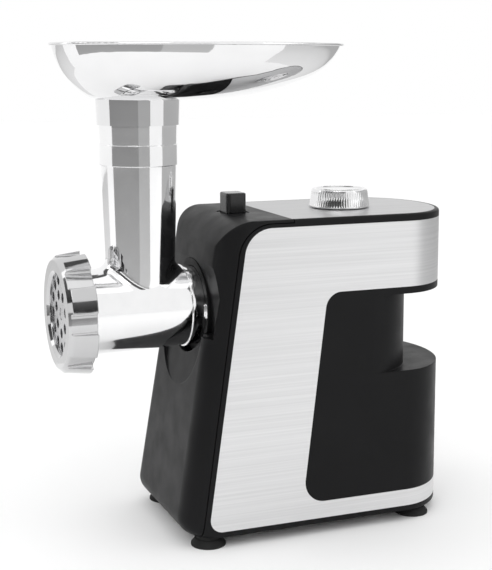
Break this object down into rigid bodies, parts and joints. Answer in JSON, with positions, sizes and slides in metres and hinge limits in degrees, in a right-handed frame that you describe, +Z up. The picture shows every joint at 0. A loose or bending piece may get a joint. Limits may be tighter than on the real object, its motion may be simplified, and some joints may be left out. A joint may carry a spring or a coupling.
{
  "type": "electric meat grinder",
  "caption": "Electric meat grinder: slanted black housing with a steel wrap, polished grinding head, screw ring, hole plate and oval feed tray on top.",
  "frame": {"origin": "on the ground under the middle of the bounding box", "axes": "+Z up, -Y towards the grinding head, +Y towards the rear, X across, symmetric about X = 0"},
  "size_m": [0.14, 0.288, 0.344],
  "materials": {
    "housing_plastic": "satin black moulding",
    "button_plastic": "semi-gloss black",
    "inner_plastic": "matte black",
    "brushed_steel": "horizontal brushing",
    "polished_steel": "mirror polished stainless steel",
    "cast_aluminium": "polished die casting",
    "tool_steel": "ground steel",
    "knob_chrome": "chromed, knurled flank",
    "rubber": "matte black rubber",
    "screw_steel": "zinc plated",
    "driver_plastic": "white nylon",
    "shaft_steel": "turned steel",
    "gear_plastic": "natural nylon",
    "bronze": "sintered bronze",
    "lamination_steel": "stacked sheet",
    "copper": "enamelled copper wire",
    "carbon": "pressed carbon"
  },
  "bodies": {
    "root": {"front_shell": "housing_plastic", "main_shell": "housing_plastic", "steel_wrap": "brushed_steel", "top_plate": "brushed_steel", "button_bezel": "housing_plastic", "base_plate": "inner_plastic", "base_screws": "screw_steel", "feet": "rubber", "cord_inlet": "rubber", "socket_collar": "inner_plastic", "collar_screws": "screw_steel", "rotary_switch": "inner_plastic", "gearbox_case": "gear_plastic", "gearbox_cover": "gear_plastic", "gearbox_screws": "screw_steel", "output_bush": "bronze", "axle_one": "shaft_steel", "axle_two": "shaft_steel", "motor_stator": "lamination_steel", "field_coils": "copper", "motor_bearings": "shaft_steel", "front_bracket": "lamination_steel", "rear_bracket": "lamination_steel", "carbon_brushes": "carbon", "brush_holders": "inner_plastic", "latch_spring": "screw_steel"},
    "head": {"head_casting": "cast_aluminium", "auger_bush": "driver_plastic"},
    "auger": {"auger": "tool_steel", "auger_coupling": "driver_plastic", "coupling_screw": "screw_steel", "blade": "tool_steel"},
    "plate": {"hole_plate": "tool_steel"},
    "ring": {"screw_ring": "cast_aluminium"},
    "tray": {"tray": "polished_steel"},
    "knob": {"knob": "knob_chrome", "knob_spindle": "shaft_steel"},
    "latch": {"release_button": "button_plastic", "latch_yoke": "inner_plastic"},
    "output": {"output_shaft": "shaft_steel", "output_gear": "gear_plastic"},
    "gear_one": {"gear_one": "gear_plastic"},
    "gear_two": {"gear_two": "gear_plastic"},
    "rotor": {"motor_pinion": "shaft_steel", "rotor_core": "lamination_steel", "rotor_winding": "copper", "rotor_shaft": "shaft_steel", "commutator": "copper", "fan": "gear_plastic"}
  },
  "joints": [
    {"name": "motor_spin", "type": "hinge", "parent": "root", "child": "rotor", "pos_m": [0, 0.05, 0.062], "axis": [0, 1, 0], "continuous": true},
    {"name": "gear_one_spin", "type": "hinge", "parent": "root", "child": "gear_one", "pos_m": [0.01281, -0.01, 0.09078], "axis": [0, 1, 0], "continuous": true},
    {"name": "gear_two_spin", "type": "hinge", "parent": "root", "child": "gear_two", "pos_m": [-0.01092, -0.02, 0.11735], "axis": [0, 1, 0], "continuous": true},
    {"name": "output_spin", "type": "hinge", "parent": "root", "child": "output", "pos_m": [0, -0.03, 0.161], "axis": [0, 1, 0], "continuous": true},
    {"name": "head_pull", "type": "slide", "parent": "root", "child": "head", "axis": [0, -1, 0], "range_m": [0, 0.1]},
    {"name": "auger_spin", "type": "hinge", "parent": "head", "child": "auger", "pos_m": [0, -0.1, 0.161], "axis": [0, 1, 0], "continuous": true},
    {"name": "plate_slide", "type": "slide", "parent": "head", "child": "plate", "axis": [0, -1, 0], "range_m": [0, 0.009]},
    {"name": "ring_turn", "type": "hinge", "parent": "plate", "child": "ring", "pos_m": [0, -0.135, 0.161], "axis": [0, -1, 0], "range_deg": [0, 1080]},
    {"name": "tray_lift", "type": "slide", "parent": "head", "child": "tray", "axis": [0, 0, 1], "range_m": [0, 0.06]},
    {"name": "knob_turn", "type": "hinge", "parent": "root", "child": "knob", "pos_m": [0, 0.07, 0.226], "axis": [0, 0, 1], "range_deg": [-45, 45]},
    {"name": "button_press", "type": "slide", "parent": "root", "child": "latch", "axis": [0, 0, -1], "range_m": [0, 0.005], "stiffness_N_per_m": 400, "springref_m": -0.004, "deforming": ["latch_spring"]}
  ],
  "couplings": [
    {"joint": "gear_one_spin", "follows": "motor_spin", "ratio": -0.16667},
    {"joint": "gear_two_spin", "follows": "motor_spin", "ratio": 0.044444},
    {"joint": "output_spin", "follows": "motor_spin", "ratio": -0.011111},
    {"joint": "auger_spin", "follows": "motor_spin", "ratio": -0.011111},
    {"joint": "plate_slide", "follows": "ring_turn", "m_per_rad": 0.00047746}
  ]
}
